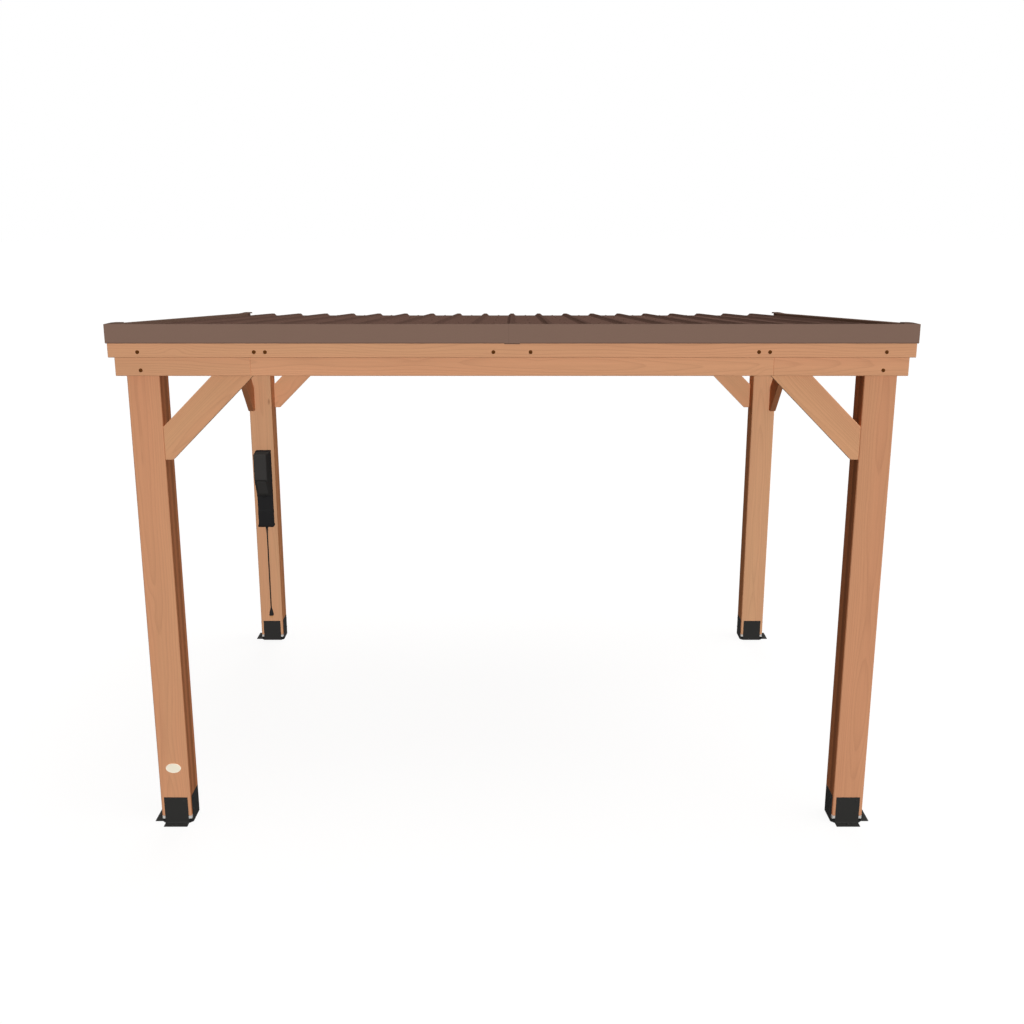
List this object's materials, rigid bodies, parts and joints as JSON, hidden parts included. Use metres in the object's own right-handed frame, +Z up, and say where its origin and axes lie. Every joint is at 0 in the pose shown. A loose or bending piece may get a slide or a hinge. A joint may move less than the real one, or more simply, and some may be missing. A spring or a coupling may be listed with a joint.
{
  "type": "gazebo",
  "caption": "Open timber gazebo with square posts on steel feet, knee braces and a single-pitch ribbed metal roof.",
  "frame": {"origin": "centre of the footprint on the ground", "axes": "+X to the right seen from the high front, +Y from the high front to the low back, +Z up"},
  "size_m": [3.668, 2.8688, 2.5272],
  "materials": {
    "post_timber": "planed and stained cedar, matt",
    "board_timber": "planed and stained cedar, matt",
    "brace_timber": "planed and stained cedar, matt",
    "roof_timber": "planed and stained cedar, matt",
    "roof_metal": "brown coated steel, satin",
    "fascia_metal": "brown coated steel, satin",
    "foot_steel": "black powder coat, matt",
    "spacer_plastic": "light grey moulded spacer",
    "outlet_plastic": "black moulded plastic",
    "cord_rubber": "black rubber sheath",
    "plug_plastic": "black moulded plug with metal blades",
    "plate_plastic": "blank cream plate"
  },
  "bodies": {
    "root": {"back_fascia": "fascia_metal", "back_left_beam_board": "board_timber", "back_left_brace": "brace_timber", "back_left_foot": "foot_steel", "back_left_post": "post_timber", "back_left_side_brace": "brace_timber", "back_middle_beam_board": "board_timber", "back_right_beam_board": "board_timber", "back_right_brace": "brace_timber", "back_right_foot": "foot_steel", "back_right_post": "post_timber", "back_right_side_brace": "brace_timber", "back_rim_board": "board_timber", "badge_plate": "plate_plastic", "cord_gland": "outlet_plastic", "cord_plug": "plug_plastic", "front_fascia_joiner": "fascia_metal", "front_left_beam_board": "board_timber", "front_left_brace": "brace_timber", "front_left_fascia": "fascia_metal", "front_left_foot": "foot_steel", "front_left_post": "post_timber", "front_left_side_brace": "brace_timber", "front_middle_beam_board": "board_timber", "front_right_beam_board": "board_timber", "front_right_brace": "brace_timber", "front_right_fascia": "fascia_metal", "front_right_foot": "foot_steel", "front_right_post": "post_timber", "front_right_side_brace": "brace_timber", "front_rim_board": "board_timber", "left_beam_board": "board_timber", "left_fascia": "fascia_metal", "left_rim_board": "board_timber", "left_roof_sheet": "roof_metal", "outlet_box": "outlet_plastic", "outlet_hood": "outlet_plastic", "post_spacers": "spacer_plastic", "power_cord": "cord_rubber", "purlins": "roof_timber", "rafters": "roof_timber", "right_beam_board": "board_timber", "right_fascia": "fascia_metal", "right_rim_board": "board_timber", "right_roof_sheet": "roof_metal"}
  },
  "joints": []
}
